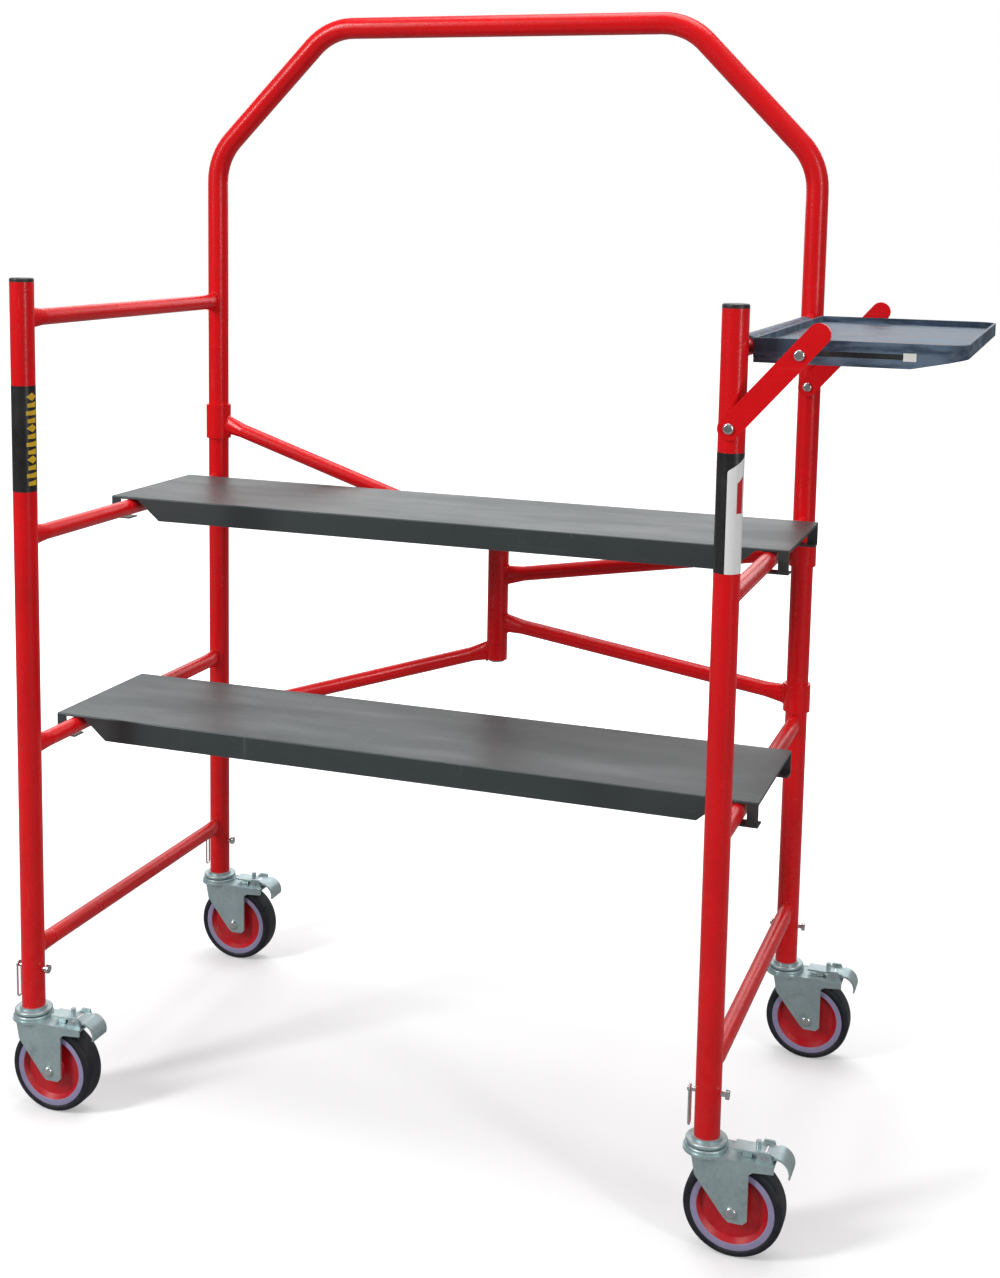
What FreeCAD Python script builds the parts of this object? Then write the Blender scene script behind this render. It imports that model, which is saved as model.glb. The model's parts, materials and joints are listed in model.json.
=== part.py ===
"""Baker scaffold on four braked casters.

Two end frames stand on casters and are joined across the back by a two-leaf folding gate and a guard rail.
Two steel decks hook over the rungs, and a tool tray hangs outside the right end frame on two swinging arms.

Frame: +X runs along the scaffold to the right, +Y from the open front to the back, +Z up.
The origin is on the floor, midway between the four posts. All sizes are in millimetres.
"""
import FreeCAD, Part
import math
import os

V = FreeCAD.Vector
X_AXIS = V(1, 0, 0)
Y_AXIS = V(0, 1, 0)
Z_AXIS = V(0, 0, 1)

# ---- Posts and end frames ----
post_spacing_x = 928.0          # between post centres, along the scaffold
post_spacing_y = 518.0          # between post centres, front to back
post_od = 31.0
post_wall = 1.8
front_post_top_z = 1113.0
back_post_top_z = 1118.0
cap_thickness = 5.0
cap_plug_length = 14.0

# ---- Rungs ----
rung_od = 22.0
rung_wall = 1.6
bottom_rung_z = 218.0
lower_rung_z = 498.0
upper_rung_z = 781.0
top_rung_z = 1066.0
squash_length = 26.0            # length of the squashed end of a rung or gate tube
squash_height_ratio = 1.35      # the squashed end is this much taller than the tube
squash_width_ratio = 0.62       # and this much thinner

# ---- Guard rail ----
rail_top_z = 1480.0             # centre line of the top run
rail_shoulder_z = 1288.0        # corner of the centre line where a leg leans in
rail_top_half = 275.0           # half the top run, to the corners of the centre line
rail_bend_radius = 90.0
rail_spigot_length = 70.0
rail_spigot_clearance = 0.3

# ---- Gate ----
gate_tube_od = 22.0
sleeve_od = 38.0
sleeve_clearance = 0.3
left_sleeve_height = 53.0
right_sleeve_height = 40.0
left_sleeve_z = (404.0, 878.0)
right_sleeve_rung_gaps = (0.65, 1.15)   # above the lower rung's squashed end, and below the upper one's
hinge_x = 8.0                   # centre hinge of the gate
knuckle_od = 31.0
hinge_pin_radius = 7.0
hinge_pin_clearance = 0.3
knuckle_gap = 0.5
hinge_bottom_z = 542.0
lower_knuckle_height = 25.0
middle_knuckle_height = 146.0
upper_knuckle_height = 25.0
left_tube_knuckle_z = (558.0, 724.0)
right_tube_knuckle_z = (601.0, 670.0)

# ---- Decks ----
deck_end_overhang = 27.0         # past the end frames' centre lines
deck_width = 224.0
deck_sheet = 2.0
deck_skirt_depth = 32.0
deck_hook_sheet = 2.0
deck_hook_length = 62.0
deck_seat_clearance = 0.3
deck_tab_width = 14.0
deck_notch_clearance = 4.0
deck_foot_reach = 14.0          # a foot at the bottom of each tab, turned in under the rung
deck_foot_width = 22.0
deck_slope_length = 34.0        # sloped end of the skirt, behind the rung notch
upper_deck_back_gap = 44.0      # from the back posts' centres to the deck
lower_deck_front_gap = 105.0    # from the front posts' centres to the deck

# ---- Tool tray and its arms ----
tray_reach = 250.0              # from the end frame's centre line to the tray's outer edge
tray_front_inset = 21.0         # from the front posts' centres
tray_back_inset = 25.0          # from the back posts' centres
tray_rim_z = 1080.0
tray_depth = 28.0
tray_recess = 8.0               # from the rim down to the panel
tray_corner_radius = 26.0       # outer corners, seen from above
tray_wall = 3.0
tray_taper_length = 60.0
tray_taper_rise = 12.0
tray_hook_wall = 2.8
tray_hook_clearance = 0.4
tray_hook_inset = 59.0          # from the posts' centres to the hook's ends
tray_gap_to_post = 1.5
tray_rib_spacing = 76.0
tray_rib_height = 6.0
slot_height = 6.0
slot_start = 67.0               # from the end frame's centre line
slot_end = 182.0
slot_stop_length = 14.0
slot_stop_height = 9.0
slot_stop_lip = 1.0             # stands proud inside the tray, and flush outside
arm_width = 26.0
arm_thickness = 3.0
arm_side_gap = 0.4
arm_pivot_z = 980.0
arm_angle = 48.4                # degrees above level
arm_bolt_reach = 113.5          # post bolt to tray bolt
arm_full_reach = 144.5          # post bolt to the centre of the round end
bolt_radius = 4.0
bolt_head_radius = 6.4
bolt_head_height = 3.0
bolt_hole_clearance = 0.1
spacer_radius = 7.0
spacer_end_gap = 0.5

# ---- Casters ----
wheel_radius = 60.0
tyre_width = 32.0
tyre_depth = 9.5
tyre_shoulder = 6.5
hub_radius = 13.0
hub_width = 35.0
disc_width = 18.0
rim_lip = 8.0
trail = 36.0                    # axle behind the swivel axis
axle_radius = 4.0
axle_clearance = 0.08
fork_clearance = 2.5            # above the tyre
fork_plate = 3.0
fork_disc_radius = 28.0
fork_inner_half = 19.0
fork_arm_x = 84.0               # end of the fork's brake arm
race_radius = 26.0
race_height = 5.0
race_gap = 1.0
king_radius = 6.0
king_clearance = 0.1
king_head_radius = 9.0
stem_clearance = 0.15
stem_length = 82.0
flange_radius = 18.0
flange_height = 3.0
brake_pivot_x = 72.0            # from the swivel axis
brake_pivot_rise = 7.0          # above the fork's top
brake_pin_radius = 2.5
brake_half_width = 13.0
paddle_centre_x = 84.0          # from the swivel axis
paddle_centre_drop = 10.0       # below the fork's top
paddle_radius = 19.0
paddle_thickness = 2.5
caster_pin_rise = 53.0          # above the foot of the post
caster_pin_radius = 3.0
caster_pin_length = 50.0
clip_wire_radius = 1.3
clip_length = 40.0

post_radius = post_od / 2
post_bore = post_radius - post_wall
half_x = post_spacing_x / 2
half_y = post_spacing_y / 2
rung_radius = rung_od / 2
rung_end_half = rung_radius * squash_height_ratio
right_sleeve_z = (lower_rung_z + rung_end_half + right_sleeve_rung_gaps[0] + right_sleeve_height / 2,
                  upper_rung_z - rung_end_half - right_sleeve_rung_gaps[1] - right_sleeve_height / 2)
upper_deck_front_y = half_y - upper_deck_back_gap - deck_width
lower_deck_front_y = lower_deck_front_gap - half_y
tray_outer_x = half_x + tray_reach
tray_front_y = tray_front_inset - half_y
tray_back_y = half_y - tray_back_inset
tray_hook_half_length = half_y - tray_hook_inset
slot_start_x = half_x + slot_start
slot_end_x = half_x + slot_end
tray_floor_z = tray_rim_z - tray_depth
tray_inner_x = half_x + post_radius + tray_gap_to_post
slot_z = arm_pivot_z + arm_bolt_reach * math.sin(math.radians(arm_angle))
tray_bolt_x = half_x + arm_bolt_reach * math.cos(math.radians(arm_angle))
fork_plate_z = 2 * wheel_radius + fork_clearance
fork_top_z = fork_plate_z + fork_plate
race_top_z = fork_top_z + 2 * race_height + race_gap
post_bottom_z = race_top_z + flange_height
caster_pin_z = post_bottom_z + caster_pin_rise

corners = {
    "front_left": (-half_x, -half_y, front_post_top_z),
    "front_right": (half_x, -half_y, front_post_top_z),
    "back_left": (-half_x, half_y, back_post_top_z),
    "back_right": (half_x, half_y, back_post_top_z),
}


def save(name, *solids):
    """Write one node. Several solids in a node stay separate pieces."""
    shape = solids[0] if len(solids) == 1 else Part.makeCompound(list(solids))
    shape.exportStep("parts/%s.step" % name)


def rod(x, y, z, radius, length, axis=Z_AXIS):
    """A round bar from a point along an axis."""
    return Part.makeCylinder(radius, length, V(x, y, z), axis)


def box(x0, x1, y0, y1, z0, z1):
    """A block between two corners."""
    return Part.makeBox(x1 - x0, y1 - y0, z1 - z0, V(x0, y0, z0))


def plate_xz(points, y0, y1):
    """A flat plate with its outline in the XZ plane, from y0 to y1."""
    outline = [V(x, y0, z) for x, z in points]
    return Part.Face(Part.makePolygon(outline + outline[:1])).extrude(V(0, y1 - y0, 0))


def squashed_tube(start, end, outer_diameter, cope_start, cope_end):
    """A tube between two upright round members, squashed flat near each end and coped to fit them.

    The round middle is hollow. Each squashed end is a loft from the circle to a tall, thin ellipse.
    """
    a, b = V(*start), V(*end)
    run = b - a
    length = run.Length
    along = V(run).normalize()
    radius = outer_diameter / 2
    upright = (Z_AXIS - along * along.dot(Z_AXIS)).normalize()

    def circle_at(distance, circle_radius):
        return Part.Wire(Part.Circle(a + along * distance, along, circle_radius).toShape())

    def ellipse_at(distance):
        curve = Part.Ellipse(V(0, 0, 0), radius * squash_height_ratio, radius * squash_width_ratio)
        wire = Part.Wire(curve.toShape())
        sideways = upright.cross(along)
        place = FreeCAD.Matrix(upright.x, -sideways.x, along.x, 0,
                               upright.y, -sideways.y, along.y, 0,
                               upright.z, -sideways.z, along.z, 0,
                               0, 0, 0, 1)
        wire.Placement = FreeCAD.Placement(place)
        wire.translate(a + along * distance)
        return wire

    first = cope_start + squash_length
    last = length - cope_end - squash_length
    body = Part.makeCylinder(radius, last - first, a + along * first, along)
    body = body.cut(Part.makeCylinder(radius - rung_wall, last - first, a + along * first, along))
    flat_start = Part.makeLoft([ellipse_at(cope_start * 0.6), circle_at(first, radius)], True)
    flat_end = Part.makeLoft([circle_at(last, radius), ellipse_at(length - cope_end * 0.6)], True)
    tube = body.fuse([flat_start, flat_end])
    tall = 4 * outer_diameter + abs(run.z)
    for point, cope in ((a, cope_start), (b, cope_end)):
        tube = tube.cut(rod(point.x, point.y, point.z - tall / 2, cope, tall))
    return tube.Solids[0]


def rounded_path(points, radius):
    """A wire of straight runs with a tangent arc of one radius at each inner corner."""
    corners_in = [V(*p) for p in points]
    edges = []
    last = corners_in[0]
    for before, corner, after in zip(corners_in, corners_in[1:], corners_in[2:]):
        toward = (before - corner).normalize()
        away = (after - corner).normalize()
        half_angle = toward.getAngle(away) / 2
        setback = radius / math.tan(half_angle)
        middle_direction = (toward + away).normalize()
        middle = corner + middle_direction * (radius / math.sin(half_angle) - radius)
        enter = corner + toward * setback
        leave = corner + away * setback
        edges.append(Part.LineSegment(last, enter).toShape())
        edges.append(Part.Arc(enter, middle, leave).toShape())
        last = leave
    edges.append(Part.LineSegment(last, corners_in[-1]).toShape())
    return Part.Wire(edges)


def swept_round(path, radius):
    """A round bar along a path."""
    first_edge = path.Edges[0]
    start = first_edge.valueAt(first_edge.FirstParameter)
    tangent = first_edge.tangentAt(first_edge.FirstParameter)
    profile = Part.Wire(Part.Circle(start, tangent, radius).toShape())
    return path.makePipeShell([profile], True, False)


def make_posts():
    """Four hollow posts, drilled near the foot for the caster pins. Plastic caps close the front two."""
    caps = []
    for name, (x, y, top) in corners.items():
        height = top - post_bottom_z
        post = rod(x, y, post_bottom_z, post_radius, height)
        post = post.cut(rod(x, y, post_bottom_z, post_bore, height))
        drill = caster_pin_radius + bolt_hole_clearance
        post = post.cut(rod(x - post_od, y, caster_pin_z, drill, 2 * post_od, X_AXIS))
        if name.endswith("right"):
            arm_hole = bolt_radius + bolt_hole_clearance
            post = post.cut(rod(x, y - post_od, arm_pivot_z, arm_hole, 2 * post_od, Y_AXIS))
        save(name + "_post", post)
        if name.startswith("front"):
            lid = rod(x, y, top, post_radius, cap_thickness)
            lid = lid.makeFillet(2.0, [e for e in lid.Edges if e.BoundBox.ZMin > top + 1])
            plug = rod(x, y, top - cap_plug_length, post_bore - rail_spigot_clearance, cap_plug_length)
            caps.append(lid.fuse(plug))
    save("front_post_caps", *caps)


def make_rungs():
    """Four rungs in each end frame, squashed where they are welded to the posts."""
    heights = {"bottom": bottom_rung_z, "lower": lower_rung_z, "upper": upper_rung_z, "top": top_rung_z}
    for side, x in (("left", -half_x), ("right", half_x)):
        for level, z in heights.items():
            rung = squashed_tube((x, -half_y, z), (x, half_y, z), rung_od, post_radius, post_radius)
            save("%s_%s_rung" % (side, level), rung)


def make_guard_rail():
    """One bent tube with a narrower spigot at each end that drops into the back posts."""
    outline = [
        (-half_x, half_y, back_post_top_z),
        (-half_x, half_y, rail_shoulder_z),
        (-rail_top_half, half_y, rail_top_z),
        (rail_top_half, half_y, rail_top_z),
        (half_x, half_y, rail_shoulder_z),
        (half_x, half_y, back_post_top_z),
    ]
    path = rounded_path(outline, rail_bend_radius)
    rail = swept_round(path, post_radius).cut(swept_round(path, post_bore))
    spigot_radius = post_bore - rail_spigot_clearance
    for x in (-half_x, half_x):
        bottom = back_post_top_z - rail_spigot_length
        spigot = rod(x, half_y, bottom, spigot_radius, 2 * rail_spigot_length)
        spigot = spigot.cut(rod(x, half_y, bottom, spigot_radius - post_wall, 2 * rail_spigot_length))
        collar = rod(x, half_y, back_post_top_z, post_radius, rail_spigot_length)
        collar = collar.cut(rod(x, half_y, back_post_top_z, spigot_radius - post_wall, rail_spigot_length))
        rail = rail.fuse([spigot, collar])
    save("guard_rail", rail)


def make_gate():
    """Two gate leaves that meet at a long pin and turn on the back posts by sleeves."""
    sleeve_bore = post_radius + sleeve_clearance
    heights = {"left": left_sleeve_height, "right": right_sleeve_height}
    centres = {"left": left_sleeve_z, "right": right_sleeve_z}
    ends = {"left": left_tube_knuckle_z, "right": right_tube_knuckle_z}
    for side, x in (("left", -half_x), ("right", half_x)):
        sleeves = []
        for z in centres[side]:
            bottom = z - heights[side] / 2
            sleeve = rod(x, half_y, bottom, sleeve_od / 2, heights[side])
            sleeves.append(sleeve.cut(rod(x, half_y, bottom, sleeve_bore, heights[side])))
        save(side + "_gate_sleeves", *sleeves)
        for level, sleeve_z, knuckle_z in zip(("lower", "upper"), centres[side], ends[side]):
            tube = squashed_tube((x, half_y, sleeve_z), (hinge_x, half_y, knuckle_z),
                                 gate_tube_od, sleeve_od / 2, knuckle_od / 2)
            save("%s_gate_%s_tube" % (side, level), tube)

    bore = hinge_pin_radius + hinge_pin_clearance
    knuckles = []
    bottom = hinge_bottom_z
    for height in (lower_knuckle_height, middle_knuckle_height, upper_knuckle_height):
        knuckle = rod(hinge_x, half_y, bottom, knuckle_od / 2, height)
        knuckles.append(knuckle.cut(rod(hinge_x, half_y, bottom, bore, height)))
        bottom += height + knuckle_gap
    save("left_gate_knuckles", knuckles[0], knuckles[2])
    save("right_gate_knuckle", knuckles[1])
    top = bottom - knuckle_gap
    head = 3.0
    pin = rod(hinge_x, half_y, hinge_bottom_z - head, hinge_pin_radius, top - hinge_bottom_z + 2 * head)
    heads = [rod(hinge_x, half_y, z, knuckle_od / 2 - 4, head) for z in (hinge_bottom_z - head, top)]
    save("gate_hinge_pin", pin.fuse(heads))


def make_deck(name, rung_z, front_y):
    """A folded steel deck: a top sheet with two side skirts, notched to hook over the rungs at each end."""
    back_y = front_y + deck_width
    seat_z = rung_z + rung_radius + deck_seat_clearance
    sheet_z = seat_z + deck_hook_sheet
    top_z = sheet_z + deck_sheet
    bottom_z = top_z - deck_skirt_depth
    end = half_x + deck_end_overhang
    tab = end - deck_tab_width
    notch = half_x - rung_radius - deck_notch_clearance
    slope = notch - deck_slope_length
    half = [(slope, bottom_z), (notch, sheet_z - 1.0), (tab, sheet_z - 1.0), (tab, bottom_z), (end, bottom_z),
            (end, top_z)]
    outline = half + [(-x, z) for x, z in reversed(half)]
    top = box(-end, end, front_y, back_y, sheet_z, top_z)
    front_skirt = plate_xz(outline, front_y, front_y + deck_sheet)
    back_skirt = plate_xz(outline, back_y - deck_sheet, back_y)
    lip = 14.0
    lips = [box(-slope, slope, y, y + lip, bottom_z, bottom_z + deck_sheet)
            for y in (front_y, back_y - lip)]
    feet = [box(min(a, b), max(a, b), y, y + deck_foot_width, bottom_z, bottom_z + deck_sheet)
            for a, b in ((tab - deck_foot_reach, end), (deck_foot_reach - tab, -end))
            for y in (front_y, back_y - deck_foot_width)]
    skin = top.fuse([front_skirt, back_skirt] + lips + feet)
    edges = [e for e in skin.Edges
             if e.BoundBox.XLength > 2 * slope and e.BoundBox.ZMin > top_z - 0.01 and
             (abs(e.BoundBox.YMin - front_y) < 0.01 or abs(e.BoundBox.YMin - back_y) < 0.01)]
    skin = skin.makeFillet(deck_sheet * 0.9, edges)
    save(name, skin)
    inner_front = front_y + deck_sheet
    inner_back = back_y - deck_sheet
    hooks = [box(min(a, b), max(a, b), inner_front, inner_back, seat_z, sheet_z)
             for a, b in ((end - deck_hook_length, end), (-end, deck_hook_length - end))]
    save(name + "_hooks", *hooks)


def rounded_outer_corners(block, x, radius):
    """Round the upright edges of a block at one x."""
    edges = [e for e in block.Edges if e.BoundBox.XMin > x - 0.01 and e.BoundBox.YLength < 0.01]
    return block.makeFillet(radius, edges)


def make_tray():
    """A moulded tray with a sunk panel and deep sides, whose inner edge is a hook that turns on the top rung."""
    x0, x1 = tray_inner_x, tray_outer_x
    y0, y1 = tray_front_y, tray_back_y
    outside = [(x0, tray_floor_z), (x1 - tray_taper_length, tray_floor_z),
               (x1, tray_floor_z + tray_taper_rise), (x1, tray_rim_z), (x0, tray_rim_z)]
    shell = rounded_outer_corners(plate_xz(outside, y0, y1), x1, tray_corner_radius)
    panel_top = tray_rim_z - tray_recess
    panel_bottom = panel_top - tray_wall
    for low, high in ((tray_floor_z - 1, panel_bottom), (panel_top, tray_rim_z + 1)):
        space = box(x0 + tray_wall, x1 - tray_wall, y0 + tray_wall, y1 - tray_wall, low, high)
        shell = shell.cut(rounded_outer_corners(space, x1 - tray_wall, tray_corner_radius - tray_wall))

    hook_bore = rung_radius + tray_hook_clearance
    hook_radius = hook_bore + tray_hook_wall
    length = 2 * tray_hook_half_length
    hook = rod(half_x, -tray_hook_half_length, top_rung_z, hook_radius, length, Y_AXIS)
    web = box(half_x + hook_bore, x0 + 1, -tray_hook_half_length, tray_hook_half_length,
              top_rung_z - 6, top_rung_z + 8)
    mouth = box(half_x - 2 * hook_radius, half_x + hook_bore * 0.8, -half_y, half_y,
                top_rung_z - 2 * hook_radius, top_rung_z - 5)
    bore = rod(half_x, -half_y, top_rung_z, hook_bore, post_spacing_y, Y_AXIS)
    hook = hook.fuse(web).cut(mouth).cut(bore)

    ribs = []
    rib_y = y0 + tray_rib_spacing
    while rib_y < y1 - tray_rib_spacing / 2:
        ribs.append(box(x0 + 1, x1 - 1, rib_y, rib_y + tray_wall, panel_bottom - tray_rib_height, panel_bottom + 1))
        rib_y += tray_rib_spacing

    tray = shell.fuse([hook] + ribs)
    half_slot = slot_height / 2
    stop_end = slot_end_x + slot_stop_length
    half_stop = slot_stop_height / 2
    for y in (y0 - 1, y1 - tray_wall - 1):
        far_y = y + tray_wall + 2
        tray = tray.cut(box(slot_start_x, slot_end_x, y, far_y, slot_z - half_slot, slot_z + half_slot))
        tray = tray.cut(box(slot_end_x, stop_end, y, far_y, slot_z - half_stop, slot_z + half_stop))
    save("tool_tray", tray)
    stop_depth = tray_wall + slot_stop_lip
    stops = [box(slot_end_x, stop_end, y, y + stop_depth, slot_z - half_stop, slot_z + half_stop)
             for y in (y0, y1 - stop_depth)]
    save("tray_slot_stops", *stops)


def make_arm(name, back_face_y):
    """A flat arm with round ends, on the front side of a right-hand post."""
    y0 = back_face_y - arm_thickness
    half_width = arm_width / 2
    bar = box(0, arm_full_reach, y0, back_face_y, -half_width, half_width)
    bar = bar.fuse([rod(x, y0, 0, half_width, arm_thickness, Y_AXIS) for x in (0, arm_full_reach)])
    hole = bolt_radius + bolt_hole_clearance
    for x in (0, arm_bolt_reach):
        bar = bar.cut(rod(x, y0 - 1, 0, hole, arm_thickness + 2, Y_AXIS))
    bar.rotate(V(0, 0, 0), Y_AXIS, -arm_angle)
    bar.translate(V(half_x, 0, arm_pivot_z))
    save(name, bar.removeSplitter())


def make_tray_hardware():
    """Post bolts that the arms turn on, and the tray bolts with their spacers."""
    front_arm_back = -half_y - post_radius - arm_side_gap
    back_arm_back = half_y - post_radius - arm_side_gap
    make_arm("tray_front_arm", front_arm_back)
    make_arm("tray_back_arm", back_arm_back)
    post_bolts = []
    tray_bolts = []
    for arm_back, wall_y in ((front_arm_back, tray_front_y), (back_arm_back, tray_back_y)):
        arm_front = arm_back - arm_thickness
        post_far = arm_back + arm_side_gap + post_od
        shank = post_far + bolt_head_height - arm_front + arm_side_gap
        bolt = rod(half_x, arm_front - arm_side_gap, arm_pivot_z, bolt_radius, shank, Y_AXIS)
        head_y = arm_front - arm_side_gap - bolt_head_height
        head = rod(half_x, head_y, arm_pivot_z, bolt_head_radius, bolt_head_height, Y_AXIS)
        head = head.makeFillet(2.5, [e for e in head.Edges if e.BoundBox.YMax < head_y + 0.1])
        nut = rod(half_x, post_far, arm_pivot_z, bolt_head_radius, bolt_head_height, Y_AXIS)
        post_bolts.append(bolt.fuse([head, nut]))
        head = rod(tray_bolt_x, arm_front - bolt_head_height, slot_z, bolt_head_radius, bolt_head_height, Y_AXIS)
        head = head.makeFillet(2.5, [e for e in head.Edges if e.BoundBox.YMax < arm_front - bolt_head_height + 0.1])
        if wall_y > arm_back:
            reach = wall_y - spacer_end_gap - arm_back
            shank = rod(tray_bolt_x, arm_front, slot_z, bolt_radius, arm_thickness + reach, Y_AXIS)
            spacer = rod(tray_bolt_x, arm_back, slot_z, spacer_radius, reach, Y_AXIS)
            tray_bolts.append(head.fuse([shank, spacer]))
        else:
            reach = arm_front - wall_y - spacer_end_gap
            shank = rod(tray_bolt_x, arm_front - reach, slot_z, bolt_radius, arm_thickness + reach, Y_AXIS)
            nut = rod(tray_bolt_x, arm_back, slot_z, bolt_head_radius, bolt_head_height, Y_AXIS)
            tray_bolts.append(shank.fuse(nut))
    save("arm_post_bolts", *post_bolts)
    save("tray_bolts", *tray_bolts)


def turned(profile, axis_start, axis):
    """A full turn of a closed outline about an axis."""
    return Part.Face(Part.makePolygon(profile + profile[:1])).revolve(axis_start, axis, 360)


def make_caster(place, x, y):
    """One braked swivel caster, trailing towards +X from the foot of a post."""
    axle_x = x + trail

    # Stem, flange, upper race and king bolt stay with the post.
    stem_radius = post_bore - stem_clearance
    stem = rod(x, y, post_bottom_z, stem_radius, stem_length)
    stem = stem.cut(rod(x - post_od, y, caster_pin_z, caster_pin_radius + bolt_hole_clearance, 2 * post_od, X_AXIS))
    flange = rod(x, y, race_top_z, flange_radius, flange_height)
    upper_race = rod(x, y, race_top_z - race_height, race_radius - 1, race_height)
    upper_race = upper_race.makeFillet(race_height * 0.4, [e for e in upper_race.Edges if e.BoundBox.ZLength < 0.1])
    king = rod(x, y, fork_plate_z - 0.3, king_radius, race_top_z - fork_plate_z)
    king_head = rod(x, y, fork_plate_z - 5.3, king_head_radius, 5.0)
    save("caster_stem_" + place, stem.fuse([flange, upper_race, king, king_head]))

    # Fork: disc, brake arm, two legs, lower race and brake ears.
    foot_z = wheel_radius - 12.5
    leg = [(-14, fork_top_z), (-9, fork_plate_z - 24), (27, foot_z + 5), (33, foot_z), (50, foot_z), (55, foot_z + 5),
           (55, fork_plate_z - 12), (60, fork_plate_z - 8), (fork_arm_x, fork_plate_z - 6), (fork_arm_x, fork_top_z)]
    leg = [(x + px, pz) for px, pz in leg]
    inner = fork_inner_half
    outer = inner + fork_plate
    fork = rod(x, y, fork_plate_z, fork_disc_radius, fork_plate)
    fork = fork.fuse([
        box(x - 10, x + fork_arm_x, y - outer, y + outer, fork_plate_z, fork_top_z),
        plate_xz(leg, y - outer, y - inner),
        plate_xz(leg, y + inner, y + outer),
    ])
    lower_race = rod(x, y, fork_top_z, race_radius, race_height)
    lower_race = lower_race.makeFillet(race_height * 0.4,
                                       [e for e in lower_race.Edges if e.BoundBox.ZMin > fork_top_z + 1
                                        and e.BoundBox.ZLength < 0.1])
    pivot_x, pivot_z = brake_pivot_x, fork_top_z + brake_pivot_rise
    ear = [(pivot_x - 11, fork_top_z - 1), (pivot_x + 11, fork_top_z - 1), (pivot_x + 6, pivot_z + 6),
           (pivot_x - 6, pivot_z + 6)]
    ear = [(x + px, pz) for px, pz in ear]
    ear_inner = brake_half_width + 0.5
    ears = [plate_xz(ear, y - ear_inner - fork_plate, y - ear_inner),
            plate_xz(ear, y + ear_inner, y + ear_inner + fork_plate)]
    fork = fork.fuse([lower_race] + ears)
    fork = fork.cut(rod(x, y, fork_plate_z - 5, king_radius + king_clearance, 40))
    fork = fork.cut(rod(axle_x, y - 40, wheel_radius, axle_radius + bolt_hole_clearance, 80, Y_AXIS))
    fork = fork.cut(rod(x + pivot_x, y - 40, pivot_z, brake_pin_radius + bolt_hole_clearance, 80, Y_AXIS))
    save("caster_fork_" + place, fork.removeSplitter())

    # Axle bolt with a domed head in front and a nut behind, and the brake pin.
    axle = rod(axle_x, y - outer, wheel_radius, axle_radius, 2 * outer + 6, Y_AXIS)
    head = rod(axle_x, y - outer - 4, wheel_radius, 7.0, 4.0, Y_AXIS)
    head = head.makeFillet(3.0, [e for e in head.Edges if e.BoundBox.YMax < y - outer - 3.9])
    nut = rod(axle_x, y + outer, wheel_radius, 7.0, 5.0, Y_AXIS)
    ear_outer = ear_inner + fork_plate
    brake_pin = rod(x + pivot_x, y - ear_outer - 2, pivot_z, brake_pin_radius, 2 * ear_outer + 4, Y_AXIS)
    save("caster_axle_" + place, axle.fuse([head, nut]), brake_pin)

    # Rim: hub, disc and lipped edge, turned about the axle.
    rim_radius = wheel_radius - tyre_depth
    bore = axle_radius + axle_clearance
    half_hub, half_disc, half_tyre = hub_width / 2, disc_width / 2, tyre_width / 2
    lip_in = rim_radius - rim_lip
    side = [(bore, half_hub), (hub_radius, half_hub), (hub_radius + 4, half_disc), (lip_in - 5, half_disc),
            (lip_in, half_tyre - 1), (rim_radius, half_tyre - 1)]
    profile = side + [(r, -w) for r, w in reversed(side)]
    start = V(axle_x, y, wheel_radius)
    rim = turned([V(axle_x + r, y + w, wheel_radius) for r, w in profile], start, Y_AXIS)
    save("wheel_rim_" + place, rim)

    # Tyre with rounded shoulders.
    tyre = rod(axle_x, y - half_tyre, wheel_radius, wheel_radius, tyre_width, Y_AXIS)
    tyre = tyre.makeFillet(tyre_shoulder, [e for e in tyre.Edges if e.BoundBox.YLength < 0.1])
    tyre = tyre.cut(rod(axle_x, y - tyre_width, wheel_radius, rim_radius, 2 * tyre_width, Y_AXIS))
    save("wheel_tyre_" + place, tyre)

    # Brake lever: a tongue over the fork, two cheeks on the pin and a curled paddle.
    pcx, pcz = paddle_centre_x, fork_top_z - paddle_centre_drop
    w = brake_half_width
    bar_top = pcz + paddle_radius
    bar_bottom = bar_top - paddle_thickness
    tongue = box(x + 34, x + pcx, y - w + 2, y + w - 2, bar_bottom, bar_top)
    pad = box(x + 46, x + 56, y - w + 3, y + w - 3, fork_top_z + 0.5, bar_bottom)
    screw = rod(x + 62, y, bar_bottom, 3.2, 12)
    cheek = [(pivot_x - 8, pivot_z - 4.5), (pivot_x + 8, pivot_z - 4.5), (pcx + 3, bar_bottom - 1), (pcx, bar_top),
             (pivot_x - 8, bar_top + 2)]
    cheek = [(x + px, pz) for px, pz in cheek]
    cheeks = [plate_xz(cheek, y - w, y - w + 2.5), plate_xz(cheek, y + w - 2.5, y + w)]
    paddle = rod(x + pcx, y - w - 3, pcz, paddle_radius, 2 * (w + 3), Y_AXIS)
    paddle = paddle.cut(rod(x + pcx, y - w - 4, pcz, paddle_radius - paddle_thickness, 2 * (w + 4), Y_AXIS))
    keep = plate_xz([(x + pcx, pcz), (x + pcx, bar_top + 5), (x + pcx + 60, bar_top + 5), (x + pcx + 60, pcz - 16)],
                    y - w - 5, y + w + 5)
    paddle = paddle.common(keep)
    lever = tongue.fuse([pad, screw, paddle] + cheeks)
    lever = lever.cut(rod(x + pivot_x, y - 40, pivot_z, brake_pin_radius + bolt_hole_clearance, 80, Y_AXIS))
    save("brake_lever_" + place, lever)


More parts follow.
